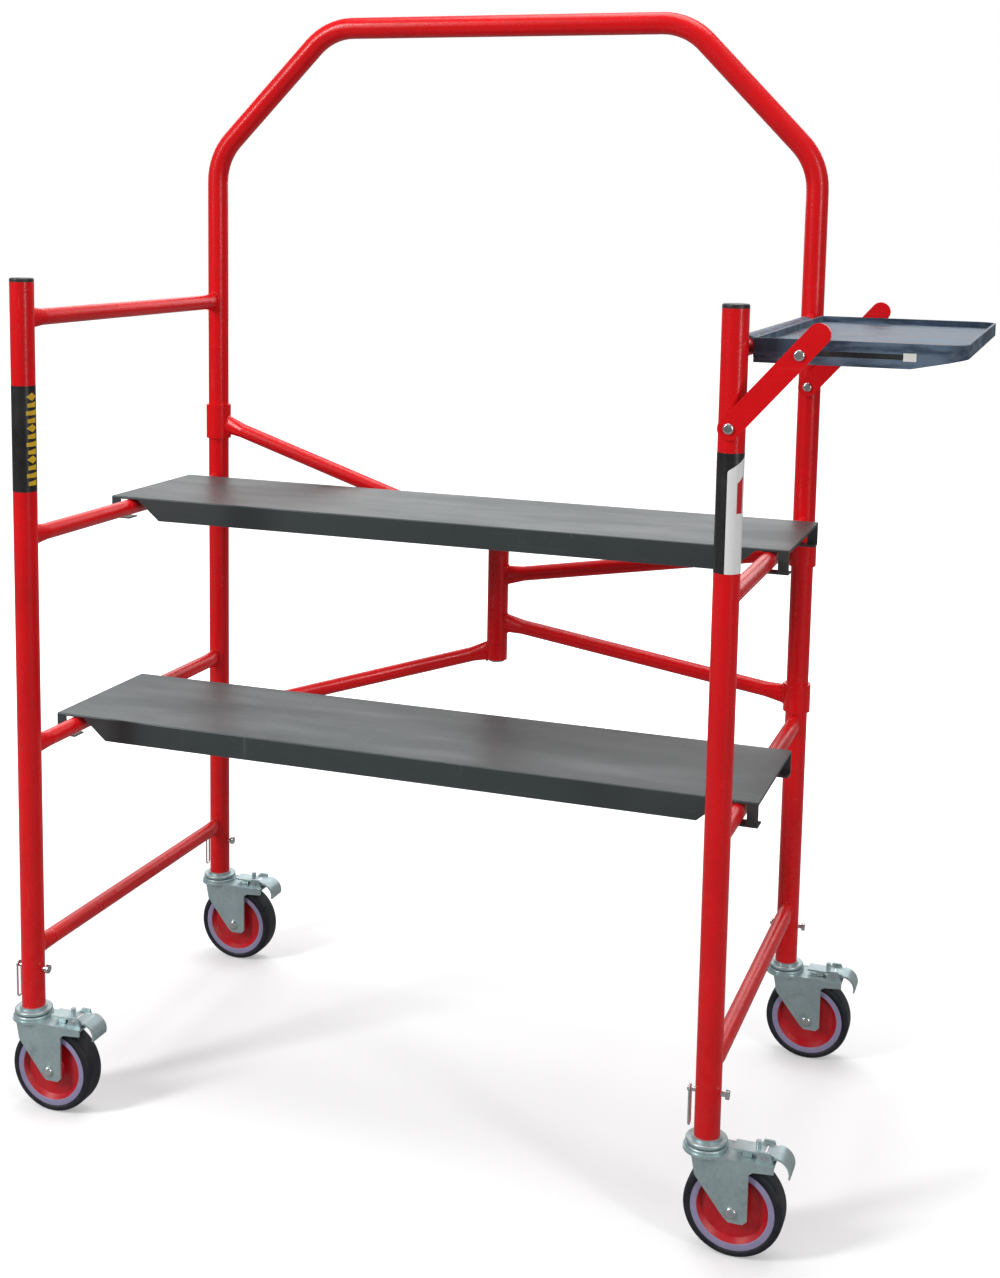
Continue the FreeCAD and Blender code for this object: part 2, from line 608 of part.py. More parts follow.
def make_caster_pins():
    """A cross pin through each post and stem, with a wire clip that hangs from its inner end."""
    pins = []
    clips = []
    for x, y, _ in corners.values():
        start = x - caster_pin_length / 2
        pin = rod(start, y, caster_pin_z, caster_pin_radius, caster_pin_length, X_AXIS)
        head = rod(x + caster_pin_length / 2 - 4, y, caster_pin_z, caster_pin_radius * 1.9, 4, X_AXIS)
        pins.append(pin.fuse(head))
        ring_x = start + 3
        half_ring = caster_pin_radius + clip_wire_radius + 0.1
        top = caster_pin_z + half_ring
        low = caster_pin_z - clip_length
        left = [V(ring_x, y - half_ring, caster_pin_z), V(ring_x, y, top), V(ring_x, y + half_ring, caster_pin_z)]
        right = [V(ring_x, y + half_ring, low), V(ring_x, y, low - half_ring), V(ring_x, y - half_ring, low)]
        loop = Part.Wire([
            Part.Arc(*left).toShape(),
            Part.LineSegment(left[2], right[0]).toShape(),
            Part.Arc(*right).toShape(),
            Part.LineSegment(right[2], left[0]).toShape(),
        ])
        clips.append(swept_round(loop, clip_wire_radius))
    save("caster_pins", *pins)
    save("caster_pin_clips", *clips)


os.makedirs("parts", exist_ok=True)
make_posts()
make_rungs()
make_guard_rail()
make_gate()
make_deck("upper_deck", upper_rung_z, upper_deck_front_y)
make_deck("lower_deck", lower_rung_z, lower_deck_front_y)
make_tray()
make_tray_hardware()
for corner_name, (corner_x, corner_y, _) in corners.items():
    make_caster(corner_name, corner_x, corner_y)
make_caster_pins()
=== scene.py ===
# %% [markdown]
# # A small rolling scaffold with a tool tray
#
# The metal parts arrive as a fixed frame: every tube, deck and caster is already in its place, in metres. This
# lesson adds what a drawing of solids leaves out: labels, weld beads, rounded tyres, coloured wheel bands, dark
# slot channels, and finishes that have the small faults of real paint, zinc, rubber and moulded plastic.

# %% Load the frame
import json
import math

import bpy
import numpy as np
from mathutils import Matrix, Vector


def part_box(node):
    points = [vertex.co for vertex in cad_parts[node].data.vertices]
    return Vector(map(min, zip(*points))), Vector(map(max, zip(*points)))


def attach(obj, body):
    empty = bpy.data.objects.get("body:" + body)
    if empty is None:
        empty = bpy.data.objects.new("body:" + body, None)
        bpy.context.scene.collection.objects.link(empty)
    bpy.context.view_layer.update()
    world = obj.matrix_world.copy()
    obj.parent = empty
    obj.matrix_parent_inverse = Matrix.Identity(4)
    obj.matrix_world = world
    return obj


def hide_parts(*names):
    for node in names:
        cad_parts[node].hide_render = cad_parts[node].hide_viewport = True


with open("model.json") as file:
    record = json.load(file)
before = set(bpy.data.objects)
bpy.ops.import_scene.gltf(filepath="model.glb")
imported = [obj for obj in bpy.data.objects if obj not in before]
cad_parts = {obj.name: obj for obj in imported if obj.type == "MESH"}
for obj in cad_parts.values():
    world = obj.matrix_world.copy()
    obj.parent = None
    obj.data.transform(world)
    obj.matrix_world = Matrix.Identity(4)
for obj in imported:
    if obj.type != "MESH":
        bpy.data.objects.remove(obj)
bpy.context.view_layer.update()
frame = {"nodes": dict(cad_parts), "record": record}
slots = {part["node"]: part["material_slot"] for part in frame["record"]["subparts"]}
corner_names = ["front_left", "front_right", "back_left", "back_right"]

# %% [markdown]
# ## The camera
#
# A tall object is usually shot with the camera almost level, so that its posts stay almost upright in the
# picture, and with the picture's window moved down to the object. The vertical shift does that here. A camera's
# matrix has its own right, up and backward directions as columns, so they are worked out from three angles.

# %% Place the camera
camera_place = Vector((0.860, -2.162, 1.216))
camera_turn = math.radians(18.96)
camera_dip = math.radians(7.36)
camera_roll = math.radians(1.1)


def looking(turn, dip, roll):
    """Right, up and backward unit vectors for a camera.

    Forward is level along +Y, turned by `turn` towards -X and dipped by `dip`. Right is level and square to it.
    The roll turns right and up about the line of sight.
    """
    forward = Vector((-math.sin(turn) * math.cos(dip), math.cos(turn) * math.cos(dip), -math.sin(dip)))
    right = Vector((math.cos(turn), math.sin(turn), 0))
    up = right.cross(forward)
    rolled_right = right * math.cos(roll) + up * math.sin(roll)
    rolled_up = up * math.cos(roll) - right * math.sin(roll)
    return rolled_right, rolled_up, -forward


camera_data = bpy.data.cameras.new("camera")
camera_data.sensor_fit = "HORIZONTAL"
camera_data.sensor_width = 36.0
camera_data.lens = 62.55
camera_data.shift_x = -0.0137
camera_data.shift_y = -0.2045
camera = bpy.data.objects.new("camera", camera_data)
bpy.context.scene.collection.objects.link(camera)
turned_axes = Matrix(looking(camera_turn, camera_dip, camera_roll)).transposed().to_4x4()
camera.matrix_world = Matrix.Translation(camera_place) @ turned_axes
bpy.context.scene.camera = camera
print("camera at", tuple(round(v, 2) for v in camera_place), "lens", camera_data.lens, "mm")

# %% [markdown]
# ## Floor and light
#
# Shiny tube shows its roundness only by what it mirrors. Tall, soft lamps leave long, clean highlights down each
# tube, and a dim sky fills the rest. The floor is not part of the object, so it is staged.
#
# The floor should fade to plain white away from the object, and yet not light the object from below. So it glows
# only for the camera, little under the object and fully further out, and every other ray meets a darker grey.

# %% Make the floor
floor_half = 14.0
floor_mesh = bpy.data.meshes.new("floor")
floor_mesh.from_pydata([(-floor_half, -floor_half, 0), (floor_half, -floor_half, 0),
                        (floor_half, floor_half, 0), (-floor_half, floor_half, 0)], [], [(0, 1, 2, 3)])
floor = bpy.data.objects.new("floor", floor_mesh)
bpy.context.scene.collection.objects.link(floor)
floor_paint = bpy.data.materials.new("pale_floor")
floor_paint.use_nodes = True
floor_tree = floor_paint.node_tree
floor_surface = floor_tree.nodes["Principled BSDF"]
floor_surface.inputs["Emission Color"].default_value = (1.0, 1.0, 1.0, 1)
floor_surface.inputs["Roughness"].default_value = 0.8
floor_surface.inputs["Specular IOR Level"].default_value = 0.1
floor_seen = floor_tree.nodes.new("ShaderNodeLightPath").outputs["Is Camera Ray"]
floor_place = floor_tree.nodes.new("ShaderNodeTexCoord").outputs["Object"]
floor_distance = floor_tree.nodes.new("ShaderNodeVectorMath")
floor_distance.operation = "LENGTH"
floor_tree.links.new(floor_place, floor_distance.inputs[0])
floor_glow = floor_tree.nodes.new("ShaderNodeMapRange")
floor_tree.links.new(floor_distance.outputs["Value"], floor_glow.inputs["Value"])
glow_starts, glow_full, glow_least = 0.75, 1.9, 0.30
for key, value in (("From Min", glow_starts), ("From Max", glow_full), ("To Min", glow_least), ("To Max", 1.0)):
    floor_glow.inputs[key].default_value = value
floor_seen_glow = floor_tree.nodes.new("ShaderNodeMath")
floor_seen_glow.operation = "MULTIPLY"
floor_tree.links.new(floor_glow.outputs[0], floor_seen_glow.inputs[0])
floor_tree.links.new(floor_seen, floor_seen_glow.inputs[1])
floor_tree.links.new(floor_seen_glow.outputs[0], floor_surface.inputs["Emission Strength"])
floor_shade = floor_tree.nodes.new("ShaderNodeMix")
floor_shade.data_type = "RGBA"
floor_shade.inputs[6].default_value = (0.30, 0.30, 0.30, 1)
floor_shade.inputs[7].default_value = (0.80, 0.80, 0.81, 1)
floor_tree.links.new(floor_seen, floor_shade.inputs[0])
floor_tree.links.new(floor_shade.outputs[2], floor_surface.inputs["Base Color"])
floor_mesh.materials.append(floor_paint)
print("floor", 2 * floor_half, "m across")


# %% Hang the lamps
def lamp(name, place, aim, width, height, watts):
    """A rectangular soft lamp at `place` whose face points at `aim`."""
    data = bpy.data.lights.new(name, "AREA")
    data.shape = "RECTANGLE"
    data.size = width
    data.size_y = height
    data.energy = watts
    thing = bpy.data.objects.new(name, data)
    bpy.context.scene.collection.objects.link(thing)
    backward = (Vector(place) - Vector(aim)).normalized()
    thing.matrix_world = Matrix.Translation(place) @ backward.to_track_quat("Z", "Y").to_matrix().to_4x4()
    return thing


middle = (0.0, 0.0, 0.8)
lamp("key_lamp", (-2.4, -2.8, 3.0), middle, 0.6, 2.4, 112)
lamp("fill_lamp", (3.4, -2.0, 1.8), middle, 0.5, 2.6, 42)
lamp("top_lamp", (0.2, 0.6, 4.0), middle, 2.6, 2.2, 84)
lamp("back_lamp", (-1.0, 3.6, 2.2), middle, 6.0, 2.0, 62)

# %% [markdown]
# The camera sees a white backdrop, while everything else is lit by a much dimmer sky. The strength therefore
# depends on whether the ray comes straight from the camera. Colours go to the picture unchanged.

# %% Light the sky
world = bpy.data.worlds.new("studio")
world.use_nodes = True
sky = world.node_tree.nodes["Background"]
backdrop_share = world.node_tree.nodes.new("ShaderNodeLightPath").outputs["Is Camera Ray"]
backdrop = world.node_tree.nodes.new("ShaderNodeMapRange")
world.node_tree.links.new(backdrop_share, backdrop.inputs["Value"])
backdrop.inputs["To Min"].default_value = 0.26
backdrop.inputs["To Max"].default_value = 1.0
world.node_tree.links.new(backdrop.outputs[0], sky.inputs["Strength"])
sky.inputs["Color"].default_value = (1.0, 1.0, 1.0, 1)
bpy.context.scene.world = world
bpy.context.scene.view_settings.view_transform = "Standard"
print("sky strength:", backdrop.inputs["To Min"].default_value, "and for the camera",
      backdrop.inputs["To Max"].default_value)

# %% [markdown]
# ## Small effects that many finishes share
#
# Each effect is a node group: a little machine with named inputs and outputs, built once and placed in every
# finish that needs it. They read Object coordinates, which here are metres from the scaffold's origin, so a
# scale of 100 means features about a centimetre across.


# %% Helpers to build groups and materials
def node(tree, kind, settings=None, **values):
    """Adds a node, sets its options, and sets or links its inputs.

    A name such as i0 means the input with that number, and any other is the input's name with underscores for
    spaces. A value that is a socket is linked, and anything else becomes the input's own value.
    """
    made = tree.nodes.new(kind)
    for option, choice in (settings or {}).items():
        setattr(made, option, choice)
    for key, value in values.items():
        numbered = key[0] == "i" and key[1:].isdigit()
        socket = made.inputs[int(key[1:])] if numbered else made.inputs[key.replace("_", " ")]
        if isinstance(value, bpy.types.NodeSocket):
            tree.links.new(value, socket)
        else:
            socket.default_value = value
    return made


def new_group(name, inputs, outputs):
    """A shader group with named sockets. Each is a name, a kind and, for an input, a first value."""
    tree = bpy.data.node_groups.new(name, "ShaderNodeTree")
    for label, kind, value in inputs:
        socket = tree.interface.new_socket(label, in_out="INPUT", socket_type="NodeSocket" + kind)
        if value is not None:
            socket.default_value = value
    for label, kind in outputs:
        tree.interface.new_socket(label, in_out="OUTPUT", socket_type="NodeSocket" + kind)
    entry = tree.nodes.new("NodeGroupInput")
    leave = tree.nodes.new("NodeGroupOutput")
    return tree, entry.outputs, leave.inputs


def maths(tree, operation, a, b=0.0, clamp=False):
    """One sum on two numbers, as a node's output."""
    return node(tree, "ShaderNodeMath", {"operation": operation, "use_clamp": clamp}, i0=a, i1=b).outputs[0]


def mixed(tree, share, a, b):
    """Colour a changing to colour b as share goes from 0 to 1."""
    made = tree.nodes.new("ShaderNodeMix")
    made.data_type = "RGBA"
    for socket, value in ((made.inputs[0], share), (made.inputs[6], a), (made.inputs[7], b)):
        if isinstance(value, bpy.types.NodeSocket):
            tree.links.new(value, socket)
        else:
            socket.default_value = value
    return made.outputs[2]


def band_of(tree, value, low, high, to_low=0.0, to_high=1.0):
    """A value stretched so that low becomes to_low and high becomes to_high, and held there beyond."""
    return node(tree, "ShaderNodeMapRange", {"clamp": True}, i0=value, i1=low, i2=high, i3=to_low,
                i4=to_high).outputs[0]


def object_place(tree):
    """Where a point is, in metres from the scaffold's origin."""
    return tree.nodes.new("ShaderNodeTexCoord").outputs["Object"]


def noise(tree, place, scale, detail=3.0, roughness=0.55, stretch=None):
    """Cloudy noise. A stretch multiplies places first, so that small factors make long streaks."""
    if stretch is not None:
        place = node(tree, "ShaderNodeMapping", i0=place, Scale=stretch).outputs[0]
    made = node(tree, "ShaderNodeTexNoise", Vector=place, Scale=scale, Detail=detail, Roughness=roughness)
    return made.outputs[0]


print("helpers ready")

# %% [markdown]
# ### Cloudy colour
#
# No coat is one exact colour. Paint lies thicker in one place than in another, and the eye reads that slow drift
# as a real surface. Two noises, one broad and one fine, mix the main colour with a deeper one.

# %% Build the cloudy colour group
cloudy, cloudy_in, cloudy_out = new_group(
    "cloudy_colour",
    [("Colour", "Color", (0.5, 0.5, 0.5, 1)), ("Deeper Colour", "Color", (0.2, 0.2, 0.2, 1)),
     ("Scale", "Float", 8.0), ("Amount", "Float", 0.5)],
    [("Colour", "Color"), ("Mask", "Float")])
broad = noise(cloudy, object_place(cloudy), cloudy_in["Scale"], 2.0)
finer = noise(cloudy, object_place(cloudy), maths(cloudy, "MULTIPLY", cloudy_in["Scale"], 9.0), 4.0)
both = maths(cloudy, "ADD", maths(cloudy, "MULTIPLY", broad, 0.65), maths(cloudy, "MULTIPLY", finer, 0.35))
cloud_mask = band_of(cloudy, both, 0.36, 0.66)
cloud_share = maths(cloudy, "MULTIPLY", cloud_mask, cloudy_in["Amount"])
cloud_colour = mixed(cloudy, cloud_share, cloudy_in["Colour"], cloudy_in["Deeper Colour"])
cloudy.links.new(cloud_colour, cloudy_out["Colour"])
cloudy.links.new(cloud_mask, cloudy_out["Mask"])
print("group:", cloudy.name, "nodes:", len(cloudy.nodes))

# %% [markdown]
# ### Dust
#
# Site dust settles on what faces up and lies thickest low down, where wheels throw it. The group compares the
# surface's own direction with straight up, breaks the result with noise, and adds more near the floor.

# %% Build the dust group
dusty, dusty_in, dusty_out = new_group(
    "dust_film",
    [("Colour", "Color", (0.5, 0.5, 0.5, 1)), ("Dust Colour", "Color", (0.45, 0.42, 0.38, 1)),
     ("Roughness", "Float", 0.4), ("Amount", "Float", 0.3)],
    [("Colour", "Color"), ("Roughness", "Float"), ("Mask", "Float")])
facing = dusty.nodes.new("ShaderNodeNewGeometry").outputs["Normal"]
upward = band_of(dusty, node(dusty, "ShaderNodeSeparateXYZ", Vector=facing).outputs["Z"], 0.1, 1.0)
height = node(dusty, "ShaderNodeSeparateXYZ", Vector=object_place(dusty)).outputs["Z"]
low_down = band_of(dusty, height, 0.0, 0.45, 1.0, 0.0)
specks = band_of(dusty, noise(dusty, object_place(dusty), 55.0, 6.0, 0.65), 0.38, 0.72)
settled = maths(dusty, "ADD", maths(dusty, "MULTIPLY", upward, 0.7), maths(dusty, "MULTIPLY", low_down, 0.5))
dust_share = maths(dusty, "MULTIPLY", maths(dusty, "MULTIPLY", settled, specks), dusty_in["Amount"], clamp=True)
dusty.links.new(mixed(dusty, dust_share, dusty_in["Colour"], dusty_in["Dust Colour"]), dusty_out["Colour"])
rougher = maths(dusty, "MULTIPLY", maths(dusty, "SUBTRACT", 0.9, dusty_in["Roughness"]), dust_share)
dusty.links.new(maths(dusty, "ADD", dusty_in["Roughness"], rougher, clamp=True), dusty_out["Roughness"])
dusty.links.new(dust_share, dusty_out["Mask"])
print("group:", dusty.name, "nodes:", len(dusty.nodes))

# %% [markdown]
# ### Worn edges
#
# Paint goes first on sharp edges. A Bevel node gives the direction that the surface would have if its edges were
# rounded. Where that differs from the true direction there is an edge, and noise breaks the line into chips.

# %% Build the worn edge group
worn, worn_in, worn_out = new_group(
    "worn_edges", [("Width", "Float", 0.0012), ("Amount", "Float", 0.7)], [("Mask", "Float")])
rounded = node(worn, "ShaderNodeBevel", {"samples": 4}, Radius=worn_in["Width"]).outputs[0]
true_way = worn.nodes.new("ShaderNodeNewGeometry").outputs["Normal"]
likeness = node(worn, "ShaderNodeVectorMath", {"operation": "DOT_PRODUCT"}, i0=rounded, i1=true_way)
edge_line = band_of(worn, likeness.outputs["Value"], 0.985, 0.90)
chips = band_of(worn, noise(worn, object_place(worn), 140.0, 5.0, 0.7), 0.44, 0.60)
edge_mask = maths(worn, "MULTIPLY", maths(worn, "MULTIPLY", edge_line, chips), worn_in["Amount"], clamp=True)
worn.links.new(edge_mask, worn_out["Mask"])
print("group:", worn.name, "nodes:", len(worn.nodes))

# %% [markdown]
# ### Fine scratches
#
# Boots, tools and stacking leave short, fine lines. Noise that is squeezed hard along two directions gives
# streaks, and only the very tops of the streaks are kept, so that the lines stay thin and broken.

# %% Build the scratches group
scratched, scratched_in, scratched_out = new_group(
    "fine_scratches", [("Scale", "Float", 60.0), ("Amount", "Float", 0.5)], [("Mask", "Float")])
lines = None
for stretch in ((0.12, 2.6, 2.6), (2.2, 0.16, 2.4), (1.6, 2.2, 0.14)):
    streak = noise(scratched, object_place(scratched), scratched_in["Scale"], 3.0, 0.6, stretch)
    thin = band_of(scratched, streak, 0.64, 0.70)
    lines = thin if lines is None else maths(scratched, "MAXIMUM", lines, thin)
patches = band_of(scratched, noise(scratched, object_place(scratched), 7.0, 2.0), 0.45, 0.65)
scratch_mask = maths(scratched, "MULTIPLY", maths(scratched, "MULTIPLY", lines, patches), scratched_in["Amount"])
scratched.links.new(scratch_mask, scratched_out["Mask"])
print("group:", scratched.name, "nodes:", len(scratched.nodes))

# %% [markdown]
# ### Orange peel
#
# Sprayed powder melts into a skin that is never quite flat. Two fine noises give the height of that skin. The
# group puts out the height alone, and each material decides how deep it is.

# %% Build the orange peel group
peel, peel_in, peel_out = new_group("orange_peel", [("Scale", "Float", 420.0)], [("Height", "Float")])
coarse_peel = noise(peel, object_place(peel), peel_in["Scale"], 1.0)
fine_peel = noise(peel, object_place(peel), maths(peel, "MULTIPLY", peel_in["Scale"], 3.2), 1.0)
peel.links.new(maths(peel, "ADD", coarse_peel, maths(peel, "MULTIPLY", fine_peel, 0.35)), peel_out["Height"])
print("group:", peel.name, "nodes:", len(peel.nodes))


# %% A start for every finish
def finish_named(name, **constants):
    """A material, its tree and its Principled surface, with unchanging values on the surface's own sockets."""
    made = bpy.data.materials.new(name)
    made.use_nodes = True
    surface = made.node_tree.nodes["Principled BSDF"]
    for key, value in constants.items():
        surface.inputs[key.replace("_", " ")].default_value = value
    return made, made.node_tree, surface


def placed(tree, group, **values):
    """A group placed in a material. Names with an underscore for a space are its inputs."""
    made = tree.nodes.new("ShaderNodeGroup")
    made.node_tree = group
    for key, value in values.items():
        socket = made.inputs[key.replace("_", " ")]
        if isinstance(value, bpy.types.NodeSocket):
            tree.links.new(value, socket)
        else:
            socket.default_value = value
    return made.outputs


def bumped(tree, surface, height, distance, strength=1.0):
    """Feeds a height in metres times `distance` into the surface's Normal."""
    made = node(tree, "ShaderNodeBump", Height=height, Distance=distance, Strength=strength)
    tree.links.new(made.outputs[0], surface.inputs["Normal"])


finishes = {}
print("finishes started")

# %% [markdown]
# ## Red powder coat
#
# Posts, rungs, rail, gate and tray arms are steel with one thick, glossy red coat. The colour drifts a little,
# orange peel breaks the highlights, edges are worn to a dull steel, and dust gathers low down.

# %% Paint the tubes
red, red_tree, red_surface = finish_named("red_powder_coat", Coat_Weight=0.10, Coat_Roughness=0.08,
                                           Specular_IOR_Level=0.30)
red_base = placed(red_tree, cloudy, Colour=(0.84, 0.004, 0.008, 1), Deeper_Colour=(0.58, 0.001, 0.004, 1),
                  Scale=6.0, Amount=0.6)
red_edges = placed(red_tree, worn, Width=0.0009, Amount=0.55)["Mask"]
red_lines = placed(red_tree, scratched, Scale=70.0, Amount=0.30)["Mask"]
red_scuffed = mixed(red_tree, red_lines, red_base["Colour"], (0.78, 0.07, 0.065, 1))
red_worn = mixed(red_tree, red_edges, red_scuffed, (0.30, 0.10, 0.09, 1))
red_rough = band_of(red_tree, red_base["Mask"], 0.0, 1.0, 0.24, 0.34)
red_dust = placed(red_tree, dusty, Colour=red_worn, Roughness=red_rough, Amount=0.08)
red_tree.links.new(red_dust["Colour"], red_surface.inputs["Base Color"])
red_tree.links.new(red_dust["Roughness"], red_surface.inputs["Roughness"])
bumped(red_tree, red_surface, placed(red_tree, peel, Scale=380.0)["Height"], 0.00035, 0.55)
finishes["red_paint"] = red
print("finish:", red.name)

# %% [markdown]
# ## Deck paint
#
# The decks are folded sheet with a satin blue-grey coat. Feet polish the top into faint streaks along the
# deck, and the folded edges show bare metal where the deck is dragged over the rungs.

# %% Paint the decks
deck, deck_tree, deck_surface = finish_named("deck_satin_grey", Specular_IOR_Level=0.62,
                                             Specular_Tint=(0.86, 0.96, 1.0, 1))
deck_base = placed(deck_tree, cloudy, Colour=(0.038, 0.047, 0.048, 1), Deeper_Colour=(0.028, 0.035, 0.036, 1),
                   Scale=3.0, Amount=0.8)
deck_edges = placed(deck_tree, worn, Width=0.0011, Amount=0.55)["Mask"]
deck_lines = placed(deck_tree, scratched, Scale=48.0, Amount=0.45)["Mask"]
deck_streaks = noise(deck_tree, object_place(deck_tree), 14.0, 5.0, 0.6, (0.25, 1.0, 1.0))
walked = band_of(deck_tree, deck_streaks, 0.42, 0.68)
deck_trod = mixed(deck_tree, maths(deck_tree, "MULTIPLY", walked, 0.35), deck_base["Colour"],
                  (0.048, 0.058, 0.060, 1))
deck_scuffed = mixed(deck_tree, deck_lines, deck_trod, (0.10, 0.11, 0.11, 1))
deck_worn = mixed(deck_tree, deck_edges, deck_scuffed, (0.22, 0.23, 0.23, 1))
deck_rough = band_of(deck_tree, walked, 0.0, 1.0, 0.46, 0.36)
deck_dust = placed(deck_tree, dusty, Colour=deck_worn, Roughness=deck_rough, Amount=0.06)
deck_tree.links.new(deck_dust["Colour"], deck_surface.inputs["Base Color"])
deck_tree.links.new(deck_dust["Roughness"], deck_surface.inputs["Roughness"])
bumped(deck_tree, deck_surface, placed(deck_tree, peel, Scale=300.0)["Height"], 0.0003, 0.5)
finishes["deck_paint"] = deck
print("finish:", deck.name)

# %% [markdown]
# ## Moulded tray
#
# The tray is blue-grey plastic from a mould. Such parts show flow marks: long, mottled streaks where the hot
# plastic ran. The skin has a fine grain, and handling leaves pale rubs on its edges.

# %% Colour the tray
tray, tray_tree, tray_surface = finish_named("tray_moulded_plastic", Specular_IOR_Level=0.28)
tray_base = placed(tray_tree, cloudy, Colour=(0.050, 0.076, 0.120, 1), Deeper_Colour=(0.018, 0.030, 0.052, 1),
                   Scale=16.0, Amount=0.9)
flow_streaks = noise(tray_tree, object_place(tray_tree), 26.0, 6.0, 0.62, (0.35, 0.9, 2.0))
flow = band_of(tray_tree, flow_streaks, 0.46, 0.60)
tray_flowed = mixed(tray_tree, maths(tray_tree, "MULTIPLY", flow, 0.75), tray_base["Colour"],
                    (0.15, 0.21, 0.29, 1))
tray_edges = placed(tray_tree, worn, Width=0.0014, Amount=0.5)["Mask"]
tray_rubbed = mixed(tray_tree, tray_edges, tray_flowed, (0.26, 0.30, 0.37, 1))
tray_rough = band_of(tray_tree, flow, 0.0, 1.0, 0.42, 0.58)
tray_dust = placed(tray_tree, dusty, Colour=tray_rubbed, Roughness=tray_rough, Amount=0.12)
tray_tree.links.new(tray_dust["Colour"], tray_surface.inputs["Base Color"])
tray_tree.links.new(tray_dust["Roughness"], tray_surface.inputs["Roughness"])
tray_grain = noise(tray_tree, object_place(tray_tree), 900.0, 3.0, 0.6)
bumped(tray_tree, tray_surface, tray_grain, 0.0004, 0.6)
finishes["tray_plastic"] = tray
print("finish:", tray.name)


# %% [markdown]
# ## Small plastic parts
#
# The slot stops are white nylon and the post caps are black polythene. Both are moulded, so one recipe serves:
# a cloudy colour, a fine grain and a little dust. Wheel centres are the same kind of part in a glossier red.

# %% Colour the small mouldings
def moulding(name, colour, deeper, rough_low, rough_high, dust, grain_scale, grain_depth):
    """A plain moulded plastic: cloudy colour and roughness, dust on top, and a grain."""
    made, tree, surface = finish_named(name)
    base = placed(tree, cloudy, Colour=colour, Deeper_Colour=deeper, Scale=35.0, Amount=0.7)
    rough = band_of(tree, base["Mask"], 0.0, 1.0, rough_low, rough_high)
    lines = placed(tree, scratched, Scale=160.0, Amount=0.25)["Mask"]
    scuffed = mixed(tree, lines, base["Colour"], tuple(min(1.0, 1.6 * c + 0.05) for c in colour[:3]) + (1,))
    coated = placed(tree, dusty, Colour=scuffed, Roughness=rough, Amount=dust)
    tree.links.new(coated["Colour"], surface.inputs["Base Color"])
    tree.links.new(coated["Roughness"], surface.inputs["Roughness"])
    bumped(tree, surface, noise(tree, object_place(tree), grain_scale, 3.0, 0.6), grain_depth, 0.6)
    return made


finishes["white_nylon"] = moulding("white_nylon", (0.86, 0.86, 0.83, 1), (0.72, 0.71, 0.66, 1), 0.35, 0.5, 0.15,
                                   900.0, 0.0002)
finishes["black_plastic"] = moulding("black_cap_plastic", (0.016, 0.016, 0.018, 1), (0.03, 0.03, 0.03, 1), 0.35,
                                     0.5, 0.35, 1100.0, 0.0003)
finishes["red_plastic"] = moulding("wheel_red_plastic", (0.64, 0.006, 0.016, 1), (0.44, 0.002, 0.008, 1), 0.28,
                                   0.42, 0.10, 700.0, 0.0002)
wheel_band_finish = moulding("wheel_band_grey", (0.36, 0.32, 0.52, 1), (0.27, 0.24, 0.40, 1), 0.45, 0.6, 0.15,
                             900.0, 0.0003)
print("finishes so far:", sorted(finishes))

# %% [markdown]
# ## Zinc plate
#
# Caster forks are pressed steel with a cool, slightly green zinc plate. Zinc grows in small crystals, which a
# cell pattern imitates with tiny steps of brightness.

# %% Plate the forks
zinc, zinc_tree, zinc_surface = finish_named("zinc_plate")
spangle = node(zinc_tree, "ShaderNodeTexVoronoi", Vector=object_place(zinc_tree), Scale=330.0)
spangle_grey = node(zinc_tree, "ShaderNodeSeparateColor", i0=spangle.outputs["Color"]).outputs[0]
zinc_base = placed(zinc_tree, cloudy, Colour=(0.50, 0.64, 0.66, 1), Deeper_Colour=(0.32, 0.43, 0.45, 1),
                   Scale=22.0, Amount=0.75)
zinc_speckled = mixed(zinc_tree, maths(zinc_tree, "MULTIPLY", spangle_grey, 0.22), zinc_base["Colour"],
                      (0.68, 0.74, 0.73, 1))
zinc_edges = placed(zinc_tree, worn, Width=0.0008, Amount=0.6)["Mask"]
zinc_bright = mixed(zinc_tree, zinc_edges, zinc_speckled, (0.78, 0.82, 0.82, 1))
stain = band_of(zinc_tree, noise(zinc_tree, object_place(zinc_tree), 48.0, 5.0, 0.65), 0.58, 0.76)
zinc_stained = mixed(zinc_tree, maths(zinc_tree, "MULTIPLY", stain, 0.45), zinc_bright, (0.17, 0.19, 0.18, 1))
zinc_rough = band_of(zinc_tree, zinc_base["Mask"], 0.0, 1.0, 0.30, 0.46)
zinc_dust = placed(zinc_tree, dusty, Colour=zinc_stained, Roughness=zinc_rough, Amount=0.14)
zinc_tree.links.new(zinc_dust["Colour"], zinc_surface.inputs["Base Color"])
zinc_tree.links.new(zinc_dust["Roughness"], zinc_surface.inputs["Roughness"])
zinc_tree.links.new(band_of(zinc_tree, zinc_dust["Mask"], 0.0, 0.4, 0.68, 0.35), zinc_surface.inputs["Metallic"])
bumped(zinc_tree, zinc_surface, spangle_grey, 0.00012, 0.5)
finishes["zinc_plate"] = zinc
print("finish:", zinc.name)
